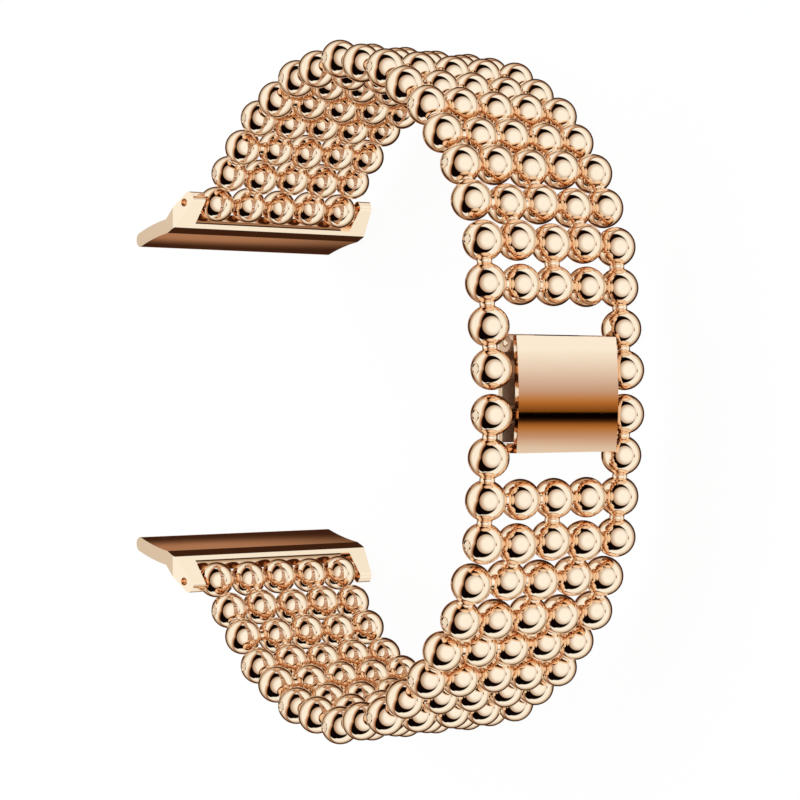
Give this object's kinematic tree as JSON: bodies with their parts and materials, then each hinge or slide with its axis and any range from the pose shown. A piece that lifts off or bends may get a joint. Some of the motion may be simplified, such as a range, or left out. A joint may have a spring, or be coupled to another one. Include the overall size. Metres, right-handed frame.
{
  "type": "watch bracelet",
  "caption": "Rose gold beads-of-rice watch bracelet with rows of polished round beads, hinged links, a curved flip clasp cover and slide-in watch adapters.",
  "frame": {"origin": "Centre of the overall box, on the plane of the adapters' lower ends", "axes": "X runs across the wrist along the watch's 12 to 6 direction, Y from the clasp to the watch, Z along the strap's width, up."},
  "size_m": [0.0842, 0.0716, 0.03],
  "materials": {
    "rose_gold": "mirror-polished rose gold plating on stainless steel"
  },
  "bodies": {
    "clasp_base": {"clasp_base": "rose_gold", "clasp_hinge_pin": "rose_gold"},
    "clasp_cover": {"clasp_cover": "rose_gold"},
    "upper_end_link": {"upper_end_link": "rose_gold", "upper_clasp_bar": "rose_gold", "upper_end_pin": "rose_gold"},
    "upper_link_1": {"upper_link_1": "rose_gold", "upper_link_pin_1": "rose_gold"},
    "upper_link_2": {"upper_link_2": "rose_gold", "upper_link_pin_2": "rose_gold"},
    "upper_link_3": {"upper_link_3": "rose_gold", "upper_link_pin_3": "rose_gold"},
    "upper_link_4": {"upper_link_4": "rose_gold", "upper_link_pin_4": "rose_gold"},
    "upper_link_5": {"upper_link_5": "rose_gold", "upper_link_pin_5": "rose_gold"},
    "upper_link_6": {"upper_link_6": "rose_gold", "upper_link_pin_6": "rose_gold"},
    "upper_link_7": {"upper_link_7": "rose_gold", "upper_link_pin_7": "rose_gold"},
    "upper_lug_link": {"upper_lug_link": "rose_gold"},
    "upper_adapter": {"upper_adapter": "rose_gold", "upper_lug_pin": "rose_gold", "upper_lug_beads": "rose_gold"},
    "lower_end_link": {"lower_end_link": "rose_gold", "lower_clasp_bar": "rose_gold", "lower_end_pin": "rose_gold"},
    "lower_link_1": {"lower_link_1": "rose_gold", "lower_link_pin_1": "rose_gold"},
    "lower_link_2": {"lower_link_2": "rose_gold", "lower_link_pin_2": "rose_gold"},
    "lower_link_3": {"lower_link_3": "rose_gold", "lower_link_pin_3": "rose_gold"},
    "lower_link_4": {"lower_link_4": "rose_gold", "lower_link_pin_4": "rose_gold"},
    "lower_link_5": {"lower_link_5": "rose_gold", "lower_link_pin_5": "rose_gold"},
    "lower_link_6": {"lower_link_6": "rose_gold", "lower_link_pin_6": "rose_gold"},
    "lower_link_7": {"lower_link_7": "rose_gold", "lower_link_pin_7": "rose_gold"},
    "lower_lug_link": {"lower_lug_link": "rose_gold"},
    "lower_adapter": {"lower_adapter": "rose_gold", "lower_lug_pin": "rose_gold", "lower_lug_beads": "rose_gold"}
  },
  "joints": [
    {"name": "cover_hinge", "type": "hinge", "parent": "clasp_base", "child": "clasp_cover", "pos_m": [0.0054, -0.03276, 0.015], "axis": [0, 0, 1], "range_deg": [0, 110]},
    {"name": "upper_clasp_bar_hinge", "type": "hinge", "parent": "clasp_base", "child": "upper_end_link", "pos_m": [0.0025, -0.03351, 0.015], "axis": [0, 0, 1], "range_deg": [-75, 26]},
    {"name": "upper_hinge_1", "type": "hinge", "parent": "upper_end_link", "child": "upper_link_1", "pos_m": [0.01671, -0.03202, 0.015], "axis": [0, 0, -1], "range_deg": [-32, 90]},
    {"name": "upper_hinge_2", "type": "hinge", "parent": "upper_link_1", "child": "upper_link_2", "pos_m": [0.02541, -0.02796, 0.015], "axis": [0, 0, 1], "range_deg": [-100, 62]},
    {"name": "upper_hinge_3", "type": "hinge", "parent": "upper_link_2", "child": "upper_link_3", "pos_m": [0.0326, -0.0216, 0.015], "axis": [0, 0, -1], "range_deg": [-74, 100]},
    {"name": "upper_hinge_4", "type": "hinge", "parent": "upper_link_3", "child": "upper_link_4", "pos_m": [0.03769, -0.01346, 0.015], "axis": [0, 0, 1], "range_deg": [-100, 82]},
    {"name": "upper_hinge_5", "type": "hinge", "parent": "upper_link_4", "child": "upper_link_5", "pos_m": [0.03984, -0.0041, 0.015], "axis": [0, 0, -1], "range_deg": [-92, 100]},
    {"name": "upper_hinge_6", "type": "hinge", "parent": "upper_link_5", "child": "upper_link_6", "pos_m": [0.03851, 0.0054, 0.015], "axis": [0, 0, 1], "range_deg": [-100, 100]},
    {"name": "upper_hinge_7", "type": "hinge", "parent": "upper_link_6", "child": "upper_link_7", "pos_m": [0.03445, 0.0141, 0.015], "axis": [0, 0, -1], "range_deg": [-100, 100]},
    {"name": "upper_hinge_8", "type": "hinge", "parent": "upper_link_7", "child": "upper_lug_link", "pos_m": [0.02803, 0.02124, 0.015], "axis": [0, 0, 1], "range_deg": [-100, 100]},
    {"name": "upper_lug_hinge", "type": "hinge", "parent": "upper_lug_link", "child": "upper_adapter", "pos_m": [0.02438, 0.02436, 0.015], "axis": [0, 0, -1], "range_deg": [-100, 100]},
    {"name": "lower_clasp_bar_hinge", "type": "hinge", "parent": "clasp_base", "child": "lower_end_link", "pos_m": [-0.0025, -0.03351, 0.015], "axis": [0, 0, -1], "range_deg": [-75, 26]},
    {"name": "lower_hinge_1", "type": "hinge", "parent": "lower_end_link", "child": "lower_link_1", "pos_m": [-0.01671, -0.03202, 0.015], "axis": [0, 0, 1], "range_deg": [-32, 90]},
    {"name": "lower_hinge_2", "type": "hinge", "parent": "lower_link_1", "child": "lower_link_2", "pos_m": [-0.02541, -0.02796, 0.015], "axis": [0, 0, -1], "range_deg": [-100, 62]},
    {"name": "lower_hinge_3", "type": "hinge", "parent": "lower_link_2", "child": "lower_link_3", "pos_m": [-0.0326, -0.0216, 0.015], "axis": [0, 0, 1], "range_deg": [-74, 100]},
    {"name": "lower_hinge_4", "type": "hinge", "parent": "lower_link_3", "child": "lower_link_4", "pos_m": [-0.03769, -0.01346, 0.015], "axis": [0, 0, -1], "range_deg": [-100, 82]},
    {"name": "lower_hinge_5", "type": "hinge", "parent": "lower_link_4", "child": "lower_link_5", "pos_m": [-0.03984, -0.0041, 0.015], "axis": [0, 0, 1], "range_deg": [-92, 100]},
    {"name": "lower_hinge_6", "type": "hinge", "parent": "lower_link_5", "child": "lower_link_6", "pos_m": [-0.03851, 0.0054, 0.015], "axis": [0, 0, -1], "range_deg": [-100, 100]},
    {"name": "lower_hinge_7", "type": "hinge", "parent": "lower_link_6", "child": "lower_link_7", "pos_m": [-0.03445, 0.0141, 0.015], "axis": [0, 0, 1], "range_deg": [-100, 100]},
    {"name": "lower_hinge_8", "type": "hinge", "parent": "lower_link_7", "child": "lower_lug_link", "pos_m": [-0.02803, 0.02124, 0.015], "axis": [0, 0, -1], "range_deg": [-100, 100]},
    {"name": "lower_lug_hinge", "type": "hinge", "parent": "lower_lug_link", "child": "lower_adapter", "pos_m": [-0.02438, 0.02436, 0.015], "axis": [0, 0, 1], "range_deg": [-100, 100]}
  ]
}
